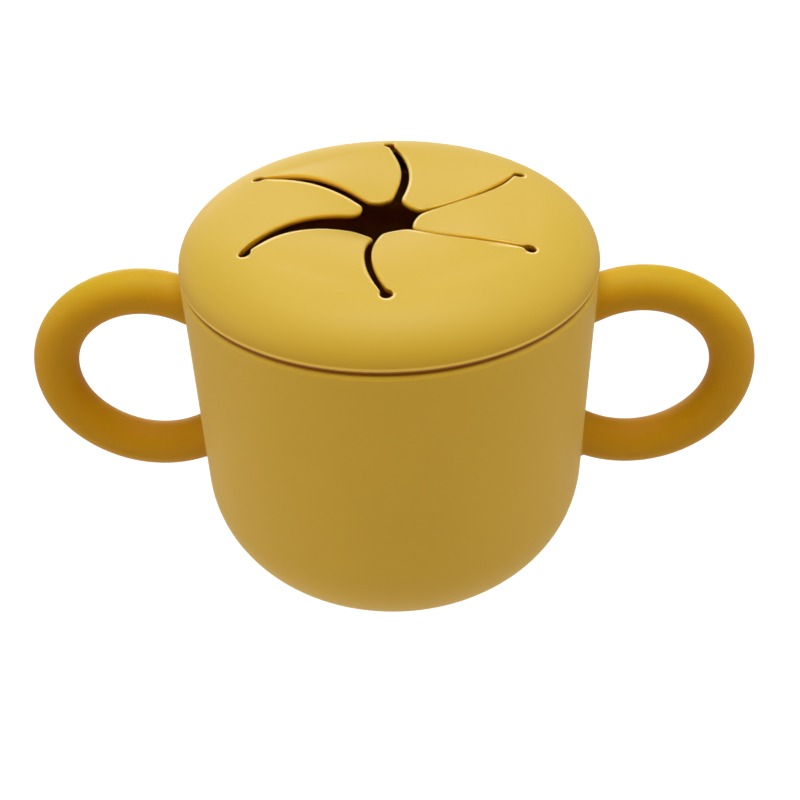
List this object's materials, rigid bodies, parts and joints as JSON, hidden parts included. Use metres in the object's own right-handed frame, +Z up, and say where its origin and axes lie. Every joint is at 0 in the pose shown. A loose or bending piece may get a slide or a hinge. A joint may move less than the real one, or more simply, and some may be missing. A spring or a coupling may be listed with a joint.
{
  "type": "toddler snack cup",
  "caption": "Soft two-handled cup with a push-in domed lid whose top is cut by curved slits into bending flaps for a small hand",
  "frame": {"origin": "centre of the flat base, on the surface that the cup stands on", "axes": "+Z up along the cup's axis, +X through the right-hand handle, -Y to the front"},
  "size_m": [0.1594, 0.088, 0.0843],
  "materials": {
    "cup_silicone": "matte",
    "lid_silicone": "matte"
  },
  "bodies": {
    "cup": {"cup_body": "cup_silicone", "handle_left": "cup_silicone", "handle_right": "cup_silicone"},
    "lid": {"lid_rim": "lid_silicone"},
    "flap_1": {"flap_1": "lid_silicone"},
    "flap_2": {"flap_2": "lid_silicone"},
    "flap_3": {"flap_3": "lid_silicone"},
    "flap_4": {"flap_4": "lid_silicone"},
    "flap_5": {"flap_5": "lid_silicone"},
    "flap_6": {"flap_6": "lid_silicone"}
  },
  "joints": [
    {"name": "lid_lift", "type": "slide", "parent": "cup", "child": "lid", "axis": [0, 0, 1], "range_m": [0, 0.04]},
    {"name": "flap_1_bend", "type": "hinge", "parent": "lid", "child": "flap_1", "pos_m": [0.01445, -0.02405, 0.0837], "axis": [-0.8572, -0.515, 0], "range_deg": [-60, 70], "stiffness_Nm_per_rad": 0.005},
    {"name": "flap_2_bend", "type": "hinge", "parent": "lid", "child": "flap_2", "pos_m": [0.02806, 0.00049, 0.0837], "axis": [0.0175, -0.9998, 0], "range_deg": [-60, 70], "stiffness_Nm_per_rad": 0.005},
    {"name": "flap_3_bend", "type": "hinge", "parent": "lid", "child": "flap_3", "pos_m": [0.0136, 0.02454, 0.0837], "axis": [0.8746, -0.4848, 0], "range_deg": [-60, 70], "stiffness_Nm_per_rad": 0.005},
    {"name": "flap_4_bend", "type": "hinge", "parent": "lid", "child": "flap_4", "pos_m": [-0.01445, 0.02405, 0.0837], "axis": [0.8572, 0.515, 0], "range_deg": [-60, 70], "stiffness_Nm_per_rad": 0.005},
    {"name": "flap_5_bend", "type": "hinge", "parent": "lid", "child": "flap_5", "pos_m": [-0.02806, -0.00049, 0.0837], "axis": [-0.0175, 0.9998, 0], "range_deg": [-60, 70], "stiffness_Nm_per_rad": 0.005},
    {"name": "flap_6_bend", "type": "hinge", "parent": "lid", "child": "flap_6", "pos_m": [-0.0136, -0.02454, 0.0837], "axis": [-0.8746, 0.4848, 0], "range_deg": [-60, 70], "stiffness_Nm_per_rad": 0.005}
  ]
}
